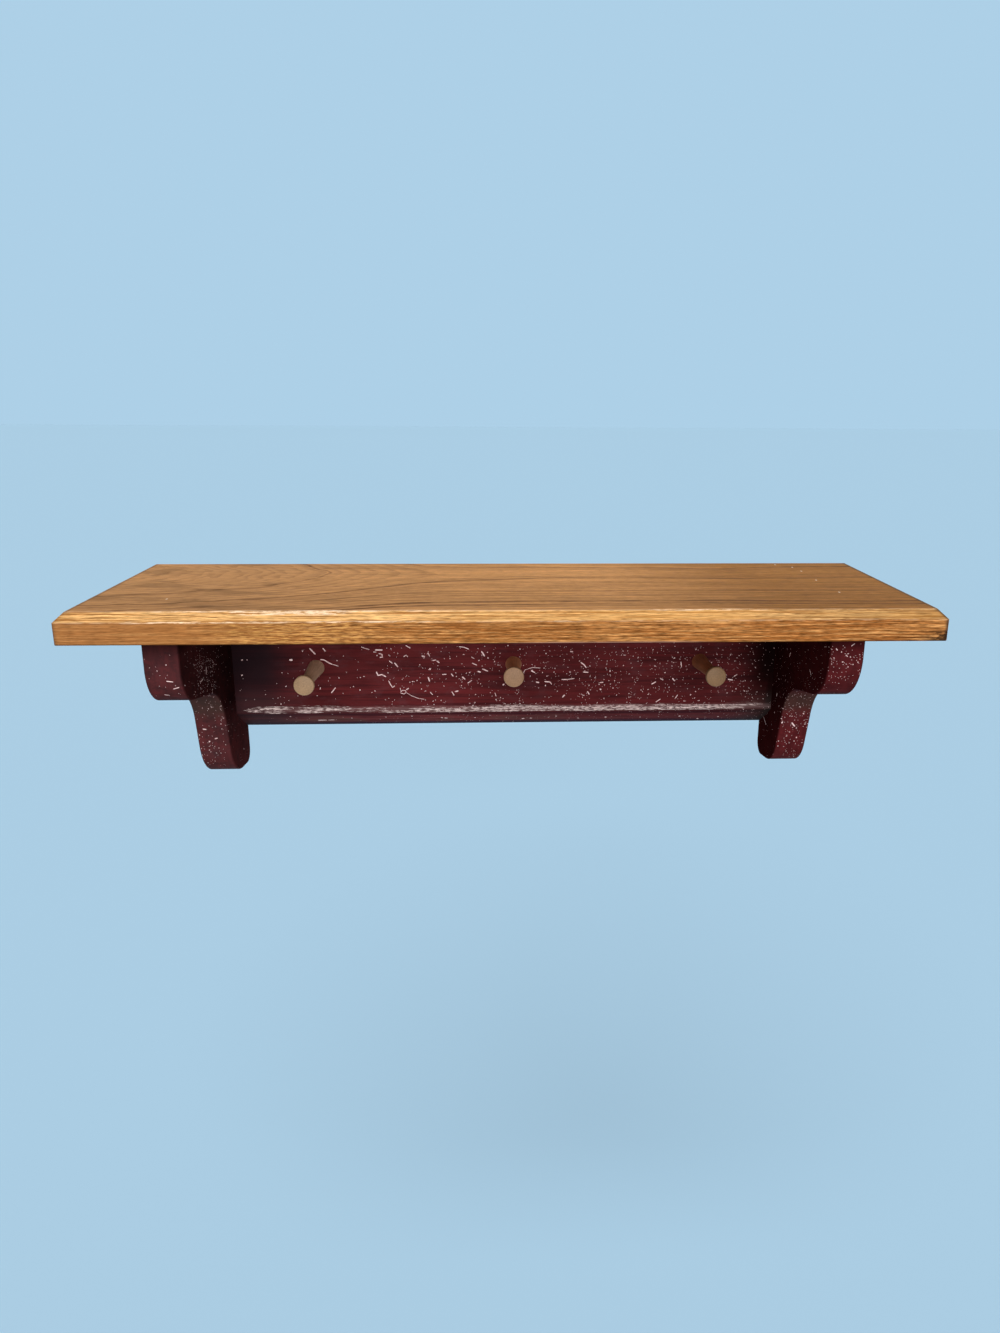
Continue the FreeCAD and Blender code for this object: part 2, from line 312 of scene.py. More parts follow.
def seen_rays(nodes):
    """1 for the rays that show a surface to the eye, straight on or in gloss or glass."""
    seen = 0.0
    for name in ("Is Camera Ray", "Is Glossy Ray", "Is Transmission Ray"):
        seen = nodes.value("ShaderNodeLightPath", output=name).largest(seen)
    return seen


def make_world():
    """An even pale surround that also fills in the shadows."""
    world = bpy.data.worlds.new("studio")
    world.use_nodes = True
    bpy.context.scene.world = world
    nodes = Nodes(world.node_tree)
    light = nodes.value("ShaderNodeBackground", {"Color": (1, 1, 1, 1), "Strength": ambient_strength})
    shown = nodes.value("ShaderNodeBackground", {"Color": pale_background})
    mixed = nodes.value("ShaderNodeMixShader", {0: seen_rays(nodes), 1: light, 2: shown})
    nodes.add("ShaderNodeOutputWorld", {"Surface": mixed})


def make_floor():
    """A plain floor, far enough below for the shadow on it to be soft."""
    half = floor_half_size
    corners = [(-half, -half), (half, -half), (half, half), (-half, half)]
    mesh = bpy.data.meshes.new("floor")
    mesh.from_pydata([(x, y, floor_height) for x, y in corners], [], [(0, 1, 2, 3)])
    floor = bpy.data.objects.new("floor", mesh)
    bpy.context.scene.collection.objects.link(floor)
    material, nodes = new_material("floor")
    colour = seen_rays(nodes).mix(floor_bounce, floor_colour)
    surface = nodes.value("ShaderNodeBsdfDiffuse", {"Color": colour})
    nodes.add("ShaderNodeOutputMaterial", {"Surface": surface})
    mesh.materials.append(material)


def new_material(name):
    """A material and its empty node tree."""
    material = bpy.data.materials.new(name)
    material.use_nodes = True
    return material, Nodes(material.node_tree)


# Colours of the top
wood = SimpleNamespace(
    left=(0.470, 0.240, 0.098),
    middle=(0.515, 0.250, 0.088),
    right=(0.330, 0.142, 0.034),
    ring=(0.125, 0.050, 0.018),
    speck=(0.72, 0.60, 0.46),
    edge_dark=(0.295, 0.110, 0.028),
    edge_light=(0.380, 0.160, 0.047),
    edge_left=(0.400, 0.185, 0.068),
    pale_streak=(0.590, 0.305, 0.112),
    dark_streak=(0.190, 0.064, 0.014),
    thread=(0.150, 0.052, 0.013),
    gilt=(0.680, 0.400, 0.120),
    low_line=(0.520, 0.300, 0.230),
    end_dark=(0.130, 0.052, 0.017),
    end_light=(0.260, 0.115, 0.036),
    end_ring=(0.070, 0.028, 0.010),
    slope_dark=(0.370, 0.158, 0.042),
    # the chamfer's pale wood with a painted sheen
    slope_pale_sheen=(0.760, 0.445, 0.178),
    slope_rich=(0.520, 0.250, 0.062),
    # arrises worn pale, with a painted highlight
    rubbed_highlight=(0.92, 0.68, 0.46),
    end_arris=(0.070, 0.038, 0.024),
    end_rim=(0.075, 0.045, 0.030),
    pore=(0.10, 0.038, 0.012),
    knock=(0.022, 0.011, 0.007),
)

# The top's growth rings lie round a pith line that starts off the board's left end and falls until
# it runs level
pith_y = -0.247 * board_depth
pith_start_x = -1.148 * board_half
pith_level_x = -0.249 * board_half
pith_bend = 0.316 * board_depth
pith_fall_share = 0.433  # of the length along the board
ring_width = 0.0305 * board_depth
ring_sway = 0.053 * board_depth
ring_drift = 0.0084 * board_depth
ring_swirl = 0.116 * board_depth  # at the left end
least_offset = 0.105 * board_depth  # from the pith, for the width that a ring shows
# The rings that show as dark lines: distance from the pith and half width across the board, as
# shares of its depth, and strength
dark_ring_shares = [
    (0.463, 0.022, 0.80),
    (0.541, 0.015, 0.40),
    (0.640, 0.020, 0.85),
    (0.679, 0.014, 0.45),
    (0.730, 0.019, 0.70),
    (0.779, 0.014, 0.45),
    (0.852, 0.021, 1.10),
    (0.884, 0.018, 0.95),
]

# Where the chamfer's arrises are worn pale with a painted highlight: from and to as shares of the
# half length, and how strongly
upper_wear_highlight_shares = [
    (-0.787, -0.197, 0.90),
    (-0.623, -0.361, 1.70),
    (-0.197, -0.089, 0.60),
    (0.311, 0.580, 0.95),
]
lower_wear_highlight_shares = [
    (-0.846, -0.492, 1.30),
    (-0.443, -0.177, 1.20),
    (0.066, 0.164, 0.60),
]
wear_highlight_blur_share = 0.026

# Specks of pale dust on the upper face, as shares of the half length and of the depth from the wall
speck_place_shares = [
    (0.768, 0.039),
    (0.805, 0.107),
    (0.812, 0.203),
    (0.810, 0.414),
    (0.816, 0.667),
    (-0.799, 0.756),
]
speck_radius = 0.0009
speck_share = 0.45  # of their length across the board that they are along it


def on_top(place):
    """Where a point of the top lies: along from -1 at the left end to 1 at the right, forward
    from 0 at the wall to 1, and distances from the faces in widths of the chamfer."""
    x, y, z = place.parts()
    spot = SimpleNamespace(x=x, y=y, z=z)
    spot.along = x.share(0, board_half)
    spot.forward = y.share(0, top_low.y)
    spot.at_left = spot.along.step(-0.393, -0.721)
    spot.down = z.share(top_high.z, top_high.z - top_chamfer)
    spot.up = z.share(top_low.z, top_low.z + top_chamfer)
    spot.from_right = x.share(board_half, board_half - top_chamfer)
    spot.from_end = abs(x).share(board_half, board_half - top_chamfer)
    spot.from_front = y.share(top_low.y, top_low.y + top_chamfer)
    spot.inset = spot.from_end.math("MINIMUM", spot.from_front)
    spot.on_slope = spot.inset.step(1.02, 0.90) * spot.down.step(1.02, 0.90)
    spot.on_side = spot.down.step(0.95, 1.05)
    return spot


def board_grain(place):
    """The top's fibres, streaks, blotches and open pores."""
    return SimpleNamespace(
        fibre=place.grain(30.0, 1000.0),
        streak=place.grain(18.0, 900.0, 4.0),
        dash=place.grain(120.0, 1500.0),
        broad=place.grain(9.0, 60.0, 3.0, 0.55),
        drawn=place.grain(10.0, 150.0, 4.0, 0.65),
        short=place.grain(140.0, 300.0),
        pore=place.grain(110.0, 1500.0, 1.0, 0.5).step(0.60, 0.70),
        blotch=place.grain(16.0, 44.0, 4.0, 0.6, 0.5),
    )


def growth_rings(place, spot):
    """The dark late wood of each ring, and the lines that the rings draw."""
    straight = spot.x.math("SMOOTH_MIN", pith_level_x, pith_bend)
    under = (straight - pith_start_x) * pith_fall_share + (top_high.z - spot.z)
    beside = spot.y - pith_y
    ring = (beside * beside + under * under).math("SQRT")
    ring += (place.grain(5.0, 16.0, 2.0, 0.5) - 0.5) * ring_sway
    ring += (place.grain(20.0, 90.0, 3.0, 0.5) - 0.5) * ring_drift
    ring += (place.grain(26.0, 34.0, 2.0, 0.5, 0.6) - 0.5) * spot.at_left * ring_swirl

    turn = (ring / ring_width).math("FRACT")
    late = turn.step(0.25, 0.92) * turn.step(1.0, 0.95)
    lines = late * 0.30
    steepness = ring / abs(beside).largest(least_offset)
    for distance, half_width, strength in dark_ring_shares:
        off = (ring - distance * board_depth) * steepness
        lines = lines.largest(off.band(0.0, half_width * board_depth) * strength)
    return late, lines * place.grain(30.0, 220.0).ramp(0.35, 0.62, 0.30, 1.15)


def upper_face(place, spot, grain, lines):
    """Greyer and smudged to the left, warm in the middle and a darker brown to the right."""
    colour = spot.along.step(-0.885, 0.098).mix(wood.left, wood.middle)
    colour = spot.along.step(0.197, 0.689).mix(colour, wood.right)
    colour = spot.forward.step(0.316, 0.842).between(1.06, 0.94).tone(colour)
    colour = spot.along.ramp(-0.984, -0.689, 1.10, 1.0).tone(colour)
    glow = spot.along.band(0.164, 0.262) * spot.forward.step(0.579, 0.158)
    colour = glow.between(1.0, 1.14).tone(colour)
    smudge = grain.blotch.step(0.50, 0.66) * spot.at_left.between(0.10, 0.32)
    colour = (1.0 - smudge).tone(colour)
    colour = lines.mix(colour, wood.ring)
    calm = spot.at_left.between(1.0, 0.45)
    for noise, contrast in ((grain.streak, 0.67), (grain.drawn, 0.87), (grain.short, 0.67)):
        colour = (1.0 + (noise - 0.5) * calm * contrast).tone(colour)
    flat = place.scaled(1.0, speck_share, 0.0)
    for along, forward in speck_place_shares:
        middle = (along * board_half, forward * top_low.y * speck_share, 0)
        speck = flat.distance(middle).step(speck_radius, 0.5 * speck_radius)
        colour = speck.mix(colour, wood.speck)
    return colour


def front_face(place, spot, grain):
    """Streaked long grain, livelier away from the left end, with a dark lower arris."""
    colour = grain.broad.step(0.40, 0.60).mix(wood.edge_dark, wood.edge_light)
    colour = spot.along.ramp(-0.852, -0.557, 0.45, 0.0).mix(colour, wood.edge_left)
    colour = spot.along.ramp(0.262, 0.525, 1.0, 1.10).tone(colour)
    lively = spot.along.ramp(-0.721, -0.393, 0.4, 1.0)
    colour = (grain.streak.step(0.50, 0.60) * lively * 0.78).mix(colour, wood.pale_streak)
    colour = (grain.streak.step(0.46, 0.36) * lively * 0.80).mix(colour, wood.dark_streak)
    thread = place.grain(13.0, 1700.0).step(0.54, 0.63)
    thread *= spot.along.ramp(-0.656, 0.328, 0.45, 0.95)
    colour = thread.mix(colour, wood.thread)
    colour = (1.0 + (grain.dash - 0.5) * lively * 3.6).tone(colour)
    gilt = spot.along.within(-0.639, -0.311, 0.066) * grain.dash.step(0.50, 0.60) * 0.5
    colour = gilt.mix(colour, wood.gilt)
    shade = spot.up.step(0.246, 0.0) * spot.from_front.ramp(0.23, 0.92, 0.55, 0.25)
    colour = (1.0 - shade).tone(colour)
    low_line = spot.up.step(0.185, 0.062) * spot.from_front.step(0.46, 0.23)
    low_line *= spot.along.within(0.033, 0.426, 0.066) * 0.7
    return low_line.mix(colour, wood.low_line)


def end_grain(place, late):
    """Short cut fibres with the rings across them."""
    fibre = place.noise(900.0, 700.0, 90.0).step(0.35, 0.65)
    return (late * 0.5).mix(fibre.mix(wood.end_dark, wood.end_light), wood.end_ring)


def chamfer_slope(spot, grain):
    """The chamfer's lighter wood with a painted sheen, richer to the right."""
    colour = grain.streak.step(0.38, 0.58).mix(wood.slope_dark, wood.slope_pale_sheen)
    colour = grain.dash.ramp(0.35, 0.65, 0.68, 1.30).tone(colour)
    colour = spot.along.ramp(0.459, 0.787, 1.0, 0.70).tone(colour)
    rich = grain.broad.step(0.42, 0.58) * spot.along.ramp(-0.164, 0.328, 0.0, 0.35)
    return rich.mix(colour, wood.slope_rich)


def rubbed_highlight(along, stretch_shares, least):
    """How strongly an arris is worn pale and carries a painted highlight along the board."""
    strength = least
    for first, last, most in stretch_shares:
        strength = (along.within(first, last, wear_highlight_blur_share) * most).largest(strength)
    return strength


def pale_arrises(place, spot):
    """Where the chamfer's two arrises are worn pale and carry a painted highlight."""
    reach = spot.along.within(-0.607, -0.361, 0.033).between(0.17, 0.51)
    upper = (abs(spot.down) / reach).step(1.0, 0.4) * spot.inset.step(1.31, 1.08)
    upper *= rubbed_highlight(spot.along, upper_wear_highlight_shares, 0.25)
    lower = spot.down.band(1.0, 0.154) * rubbed_highlight(spot.along, lower_wear_highlight_shares, 0.30)
    return upper.largest(lower) * place.grain(70.0, 900.0, 4.0, 0.75).step(0.44, 0.56)


def end_arrises(spot):
    """The upper face's dark arrises at the ends."""
    near = spot.from_end.step(1.46, 1.22) * spot.down.step(0.154, 0.0)
    return near * spot.x.by_side(0.50, 0.90)


def end_rims(spot):
    """The dark corners between the front and the ends, and up the chamfer's mitres."""
    mitre = (spot.from_end - spot.from_front).band(0.0, 0.523)
    mitre *= spot.from_front.step(2.46, 1.54)
    return (spot.on_side * 1.4).largest(spot.on_slope) * mitre * spot.x.by_side(0.35, 0.90)


def corner_knock(place, spot):
    """A dark knock at the lower right front corner."""
    near = spot.from_right.step(3.38, 0.92) * spot.down.step(2.00, 2.54)
    near *= spot.from_front.step(1.85, 0.62)
    return near * place.noise(120.0, 300.0, 500.0).step(0.37, 0.50)


def stained_top():
    """Honey-stained hardwood, flat sawn, with open pores and arrises worn pale with a painted
    highlight.
    """
    material, nodes = new_material("stained_top")
    place = nodes.place()
    spot = on_top(place)
    grain = board_grain(place)
    late, lines = growth_rings(place, spot)
    upper = upper_face(place, spot, grain, lines)
    colour = spot.on_side.mix(upper, front_face(place, spot, grain))
    colour = spot.on_slope.mix(colour, chamfer_slope(spot, grain))
    colour = end_arrises(spot).mix(colour, wood.end_arris)
    # Arrises worn pale, with a painted highlight
    colour = (pale_arrises(place, spot) * 0.85).mix(colour, wood.rubbed_highlight)
    colour = end_rims(spot).mix(colour, wood.end_rim)
    on_end = spot.from_end.step(0.185, 0.062) * spot.on_side
    colour = on_end.mix(colour, end_grain(place, late))
    colour = grain.fibre.ramp(0.3, 0.7, 0.84, 1.16).tone(colour)
    colour = (grain.pore * 0.45).mix(colour, wood.pore)
    colour = (corner_knock(place, spot) * 0.9).mix(colour, wood.knock)
    relief = grain.fibre - grain.pore * 0.9 + grain.streak * 0.5
    roughness = grain.streak.ramp(0.3, 0.7, 0.68, 0.56)
    nodes.finish(colour, roughness, faint_specular, relief.bump(0.40, grain_depth))
    return material


# Colours of the painted wood
paint = SimpleNamespace(
    dull=(0.072, 0.0130, 0.0150),
    full=(0.118, 0.0190, 0.0215),
    bright=(0.165, 0.0210, 0.0250),
    deep=(0.034, 0.0085, 0.0115),
    mottle=(0.110, 0.0420, 0.0500),
    fleck=(0.86, 0.58, 0.58),
    bevel_dark=(0.086, 0.016, 0.019),
    bevel_light=(0.188, 0.040, 0.043),
    bevel_worn=(0.130, 0.062, 0.054),
    bevel_right=(0.118, 0.014, 0.021),
    # painted shade just under the peg board's arris
    shade_under_arris=(0.044, 0.0050, 0.0090),
    # painted shade at the peg board's bottom, with a painted bluish reflection
    foot_shade=(0.018, 0.011, 0.026),
    # painted shade by the left bracket, greyer low down
    high_left_shade=(0.0150, 0.0088, 0.0118),
    low_left_shade=(0.0400, 0.0230, 0.0270),
    # painted shade by the right bracket
    high_right_shade=(0.0060, 0.0016, 0.0016),
    low_right_shade=(0.0310, 0.0230, 0.0220),
    film=(0.270, 0.175, 0.180),
    thin_chalk=(0.14, 0.085, 0.085),
    chalk=(0.92, 0.75, 0.74),
    left_bracket=(0.058, 0.043, 0.048),
    right_bracket=(0.096, 0.0125, 0.0160),
    leg_dust=(0.056, 0.042, 0.035),
    # painted shade on the brackets' undersides
    underside_shade=(0.010, 0.008, 0.013),
    rim=(0.012, 0.009, 0.018),
    dark_drop=(0.80, 0.53, 0.54),
    light_drop=(1.00, 0.76, 0.77),
)

# Pale paint dragged along the peg board's arris: from and to along it as shares of its half
# length, from and to above it as shares of the bevel's height, and how strongly it covers
stroke_shares = [
    (-0.959, -0.916, 0.066, 0.188, 0.95),
    (-0.927, -0.802, 0.169, 0.291, 1.00),
    (-0.888, -0.828, 0.009, 0.103, 0.95),
    (-0.819, -0.672, 0.103, 0.207, 0.42),
    (-0.780, -0.690, 0.009, 0.131, 0.95),
    (-0.767, -0.647, 0.197, 0.310, 0.70),
    (-0.703, -0.578, 0.113, 0.319, 0.90),
    (-0.603, -0.448, 0.014, 0.263, 0.36),
    (-0.474, -0.293, 0.000, 0.103, 0.62),
    (-0.483, -0.366, 0.235, 0.291, 0.45),
    (-0.362, -0.112, 0.000, 0.216, 0.66),
    (-0.147, 0.147, 0.000, 0.300, 0.72),
    (0.121, 0.336, 0.019, 0.244, 0.72),
    (0.284, 0.509, 0.000, 0.263, 0.66),
    (0.474, 0.603, 0.000, 0.178, 0.70),
    (0.552, 0.888, 0.019, 0.263, 0.64),
    (0.819, 0.953, 0.141, 0.310, 0.52),
]


def with_flecks(place, colour, wanted):
    """A colour strewn with fine off-white flecks, in the share of cells that is wanted."""
    cells = {"Vector": place, "Scale": 1 / fleck_cell}
    off = place.nodes.value("ShaderNodeTexVoronoi", cells, "Distance")
    size, chance, strength = place.nodes.value("ShaderNodeTexVoronoi", cells, "Color").parts()
    largest = fleck_radius / fleck_cell
    lumps = place.grain(1200.0, 1200.0, 1.0, 0.5)
    reach = size.between(0.3 * largest, largest) * lumps.ramp(0.35, 0.65, 0.6, 1.4)
    fleck = (reach - off).step(-0.1 * largest, 0.15 * largest)
    fleck *= chance.math("LESS_THAN", wanted) * strength.between(0.2, 0.8)
    return fleck.mix(colour, paint.fleck)


def brushed_paint(place, long_way, short_way):
    """Burgundy paint with brush marks, as a colour, a roughness and a relief."""
    brush = place.grain(long_way, short_way, 4.0, 0.65)
    mottle = place.grain(60.0, 110.0, 4.0, 0.65)
    cloud = place.grain(11.0, 20.0, 2.0, 0.5)
    lap = place.grain(1.5 * long_way, short_way / 4)
    colour = lap.step(0.36, 0.64).mix(paint.dull, paint.full)
    colour = (brush.step(0.52, 0.66) * 0.50).mix(colour, paint.bright)
    colour = (brush.step(0.46, 0.34) * 0.55).mix(colour, paint.deep)
    colour = (mottle.step(0.50, 0.68) * 0.30).mix(colour, paint.mottle)
    colour = cloud.ramp(0.35, 0.65, 0.82, 1.14).tone(colour)
    return colour, brush.ramp(0.3, 0.7, 0.66, 0.54), brush * 0.6 + mottle * 0.5


def with_bevel(place, colour, along, above):
    """The bevel: redder than the face, with painted shade just under its arris, and at its bottom a
    bluer painted shade with a painted reflection.
    """
    patches = place.grain(30.0, 300.0).step(0.36, 0.64)
    bevel = patches.mix(paint.bevel_dark, paint.bevel_light)
    worn = place.grain(26.0, 60.0).step(0.46, 0.66) * along.ramp(-0.086, 0.431, 0.7, 0.3)
    bevel = worn.mix(bevel, paint.bevel_worn)
    bevel = along.ramp(0.0, 0.431, 0.0, 0.35).mix(bevel, paint.bevel_right)
    colour = above.step(0.0, -0.047).mix(colour, bevel)
    # Painted shade just under the arris
    colour = (above.band(-0.141, 0.188) * 0.85).mix(colour, paint.shade_under_arris)
    # Painted shade at the bottom, tinted blue by a painted reflection
    return (above.step(-0.601, -0.930) * 0.95).mix(colour, paint.foot_shade)


def with_bracket_shade(colour, along, above):
    """A colour with painted shade near the brackets, less of it low down, and painted light between
    them.
    """
    from_left = along + 1.0
    from_right = 1.0 - along
    # Painted shade darkening towards the right end, and painted light left of the middle
    colour = from_right.ramp(0.129, 0.948, 0.76, 1.0).tone(colour)
    colour = along.band(-0.302, 0.388).between(1.0, 1.20).tone(colour)
    # Painted shade by the left bracket, darkest high up and greyer low down
    at_left = from_left.step(0.302, 0.095) * above.ramp(-0.094, 1.690, 0.68, 0.92)
    left_shade = above.step(1.221, 0.282).mix(paint.high_left_shade, paint.low_left_shade)
    colour = at_left.mix(colour, left_shade)
    # Painted shade by the right bracket, deepest in its corner and high up
    at_right = from_right.step(0.181, 0.026) * above.ramp(0.469, 1.690, 0.62, 0.97)
    in_corner = from_right.step(0.060, 0.013) * 0.9
    right_shade = above.step(1.033, 0.188).mix(paint.high_right_shade, paint.low_right_shade)
    return at_right.largest(in_corner).mix(colour, right_shade)


def strokes_laid(along, rise):
    """How thickly the strokes of pale paint lie, thinner higher up."""
    laid = 0.0
    for first, last, low, high, strength in stroke_shares:
        stroke = along.within(first, last, 0.022) * strength
        stroke *= rise.step(low - 0.047, low + 0.019) * rise.step(high + 0.066, high - 0.094)
        laid = stroke.largest(laid)
    at_ends = along.step(0.560, 0.862).largest(along.step(-0.690, -0.797))
    return laid * (rise - at_ends * 0.085).ramp(0.094, 0.310, 1.08, 0.34)


def dragged_paint(place, along, above):
    """Pale paint dragged along the arris: its thin film, its cover and its colour."""
    rise = above + (place.grain(24.0, 0.0) - 0.5) * 0.141
    drag = place.grain(30.0, 1300.0)
    long_drag = place.grain(12.0, 1300.0)
    crumb = place.grain(240.0, 1300.0, 3.0, 0.7)
    film = rise.within(0.038, 0.244, 0.075) * drag.ramp(0.35, 0.65, 0.12, 0.62)
    film *= along.step(-0.957, -0.845)
    laid = strokes_laid(along, rise)
    grit = drag * 0.6 + crumb * 0.4
    long_grit = long_drag * 0.8 + crumb * 0.2
    grit += (long_grit - grit) * along.step(-0.086, 0.259)
    cover = (laid + (grit - 0.5) * 4.2).step(0.20, 1.00) * laid.step(0.0, 0.15)
    return film, cover, crumb.step(0.42, 0.58).mix(paint.thin_chalk, paint.chalk)


def rail_paint():
    """The peg board's paint, with painted shade near the brackets, and pale paint dragged along its
    arris.
    """
    material, nodes = new_material("rail_paint")
    place = nodes.place()
    x, y, z = place.parts()
    along = x.share(0, rail_half)
    above = z.share(arris_z, arris_z + bevel_height)
    in_front = y.share(rail_high.y, rail_low.y).step(0.059, 0.118)
    colour, roughness, relief = brushed_paint(place, 9.0, 420.0)
    colour = with_bevel(place, colour, along, above)
    colour = with_bracket_shade(colour, along, above)
    colour = with_flecks(place, colour, along.ramp(-0.690, 0.086, 0.15, 0.80) * in_front)
    film, cover, chalk = dragged_paint(place, along, above)
    colour = (film * in_front).mix(colour, paint.film)
    cover *= in_front
    colour = (cover * 0.92).mix(colour, chalk)
    normal = (relief + cover * 0.5).bump(0.30, brush_depth)
    nodes.finish(colour, roughness + cover * 0.2, faint_specular, normal)
    return material


def on_bracket(place):
    """Where a point of a bracket lies: down and forward as shares of its height and its depth,
    and through its thickness from 0 on its inner side."""
    x, y, z = place.parts()
    normal = place.nodes.value("ShaderNodeNewGeometry", output="Normal").parts()
    spot = SimpleNamespace(x=x)
    spot.down = z.share(bracket_high.z, bracket_low.z)
    spot.forward = y.share(0, bracket_low.y)
    spot.in_front = spot.forward.step(0.012, 0.036)
    spot.through = abs(x).share(rail_half, bracket_half)
    spot.inner = spot.through.step(0.055, 0.016)
    spot.on_curve = abs(normal[0]).step(0.95, 0.60)
    spot.on_underside = normal[2].step(-0.80, -0.99)
    return spot


def with_rims(colour, spot):
    """A colour with painted shade on the undersides, and dark outer rims."""
    # Painted shade on the faces that look down
    colour = (spot.on_underside * 0.85).mix(colour, paint.underside_shade)
    rim = spot.through.step(0.957, 0.992) * spot.on_curve * spot.x.by_side(0.50, 0.90)
    return rim.mix(colour, paint.rim)


def inner_shade(spot):
    """The painted shade on the sides that face each other: lighter low down and to the front."""
    tone = spot.down.ramp(0.675, 0.547, spot.x.by_side(1.10, 0.54), spot.x.by_side(0.39, 0.34))
    return tone * spot.forward.ramp(0.303, 0.788, 0.80, 1.50)


def bracket_paint():
    """The brackets' paint: dustier at the left, with painted shade on the sides that face each other,
    under the top and underneath.
    """
    material, nodes = new_material("bracket_paint")
    place = nodes.place()
    spot = on_bracket(place)
    colour, roughness, relief = brushed_paint(place, 120.0, 200.0)
    colour = spot.x.by_side(0.32, 0.0).mix(colour, paint.left_bracket)
    colour = spot.x.by_side(0.0, 0.42).mix(colour, paint.right_bracket)

    # The noses carry a painted shadow of the top, and the legs are grey with dust where they start
    top_shadow = spot.down.step(0.116, 0.039) * spot.forward.step(0.788, 0.848)
    colour = top_shadow.between(0.93, 0.40).tone(colour)
    leg_top = spot.down.within(0.450, 0.592, 0.051) * spot.on_curve * spot.in_front
    colour = (leg_top * 0.6).mix(colour, paint.leg_dust)
    colour = with_rims(colour, spot)
    # Painted shade on the sides that face each other
    colour = spot.inner.mix(colour, inner_shade(spot).tone(colour))

    # Fewer flecks at the left, fewest on the left nose, and more on the legs' tops
    left_nose = spot.forward.step(0.727, 0.848) * (1.0 - spot.inner) * spot.x.by_side(1.0, 0.0)
    wanted = (spot.x.by_side(0.35, 0.80) + leg_top * 0.3) * left_nose.between(1.0, 0.3)
    colour = with_flecks(place, colour, wanted * spot.in_front)
    specular = spot.inner.between(faint_specular, 0.0)
    nodes.finish(colour, roughness, specular, relief.bump(0.30, brush_depth))
    return material


def spatter_paint():
    """Off-white paint of the larger drops."""
    material, nodes = new_material("spatter")
    lumps = nodes.place().grain(260.0, 260.0, 2.0, 0.5)
    colour = lumps.step(0.34, 0.52).mix(paint.dark_drop, paint.light_drop)
    nodes.finish(colour, 0.45, 0.4, lumps.bump(0.2, smooth_depth))
    return material


# The colours of each peg's head and stem
peg_colours = {
    "peg_left": ((0.450, 0.290, 0.168), (0.560, 0.360, 0.240)),
    "peg_middle": ((0.385, 0.225, 0.130), (0.620, 0.275, 0.132)),
    "peg_right": ((0.270, 0.158, 0.080), (0.300, 0.102, 0.042)),
}
pip_colour = (0.22, 0.13, 0.07)
pip_radius = 0.0010
# From a peg's tip, as shares of its length: the head's thickness, and where the stain begins and
# is full
head_share = 0.0534
stain_start_share = 0.0686
stain_full_share = 0.198


def peg_wood(name, head_colour, stem_colour):
    """Turned hardwood: a bare head, and a stem that is more or less stained."""
    material, nodes = new_material(name + "_wood")
    place = nodes.place()
    corners = [corner.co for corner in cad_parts[name].data.vertices]
    tip_y = min(corner.y for corner in corners)
    length = max(corner.y for corner in corners) - tip_y
    head_corners = [corner for corner in corners if corner.y < tip_y + head_share * length]
    middle = sum(head_corners, Vector()) / len(head_corners)
    from_axis = place.scaled(1.0, 0.0, 1.0).distance((middle.x, 0, middle.z))
    behind = place.parts()[1].share(tip_y, tip_y + length)

    grain = place.noise(900.0, 45.0, 900.0)
    speck = place.grain(1500.0, 1500.0, 2.0)
    soft = place.noise(90.0, 60.0, 90.0, 2.0, 0.5)
    # A distance used as a place makes rings round the axis
    turned = from_axis.grain(2600.0, 0.0, 2.0, 0.5)

    head = grain.ramp(0.3, 0.7, 0.84, 1.16).tone(head_colour)
    head = turned.ramp(0.3, 0.7, 0.90, 1.07).tone(head)
    head = soft.ramp(0.3, 0.7, 0.90, 1.08).tone(head)
    pip = from_axis.step(pip_radius, 0.3 * pip_radius)
    head = (pip * 0.3).mix(head, pip_colour)
    stem = grain.ramp(0.3, 0.7, 0.82, 1.18).tone(stem_colour)
    stem = soft.ramp(0.3, 0.7, 0.82, 1.12).tone(stem)
    colour = behind.step(stain_start_share, stain_full_share).mix(head, stem)
    colour = speck.ramp(0.3, 0.7, 0.93, 1.05).tone(colour)
    nodes.finish(colour, 0.55, 0.3, (grain + turned * 0.5).bump(0.25, turned_depth))
    return material


def dowel_wood():
    """Plain beech with fine pores."""
    material, nodes = new_material("dowel_wood")
    grain = nodes.place().grain(700.0, 700.0)
    colour = grain.step(0.3, 0.7).mix((0.42, 0.26, 0.14), (0.58, 0.40, 0.24))
    nodes.finish(colour, 0.6, 0.3, grain.bump(0.2, turned_depth))
    return material


def plain_steel(name, bright, dull):
    """Zinc-plated steel with a faint drawn grain and dull spots."""
    material, nodes = new_material(name)
    place = nodes.place()
    scratch = place.noise(2500.0, 2500.0, 160.0, 3.0, 0.5)
    spot = place.grain(260.0, 260.0)
    colour = spot.step(0.42, 0.7).mix(bright, dull)
    colour = scratch.ramp(0.3, 0.7, 0.88, 1.1).tone(colour)
    roughness = spot.ramp(0.35, 0.7, 0.28, 0.5)
    nodes.finish(colour, roughness, 0.5, scratch.bump(0.15, smooth_depth), metallic=1.0)
    return material


def dress(material, names):
    """Gives nodes of the frame their material."""
    for name in names:
        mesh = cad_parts[name].data
        mesh.materials.clear()
        mesh.materials.append(material)


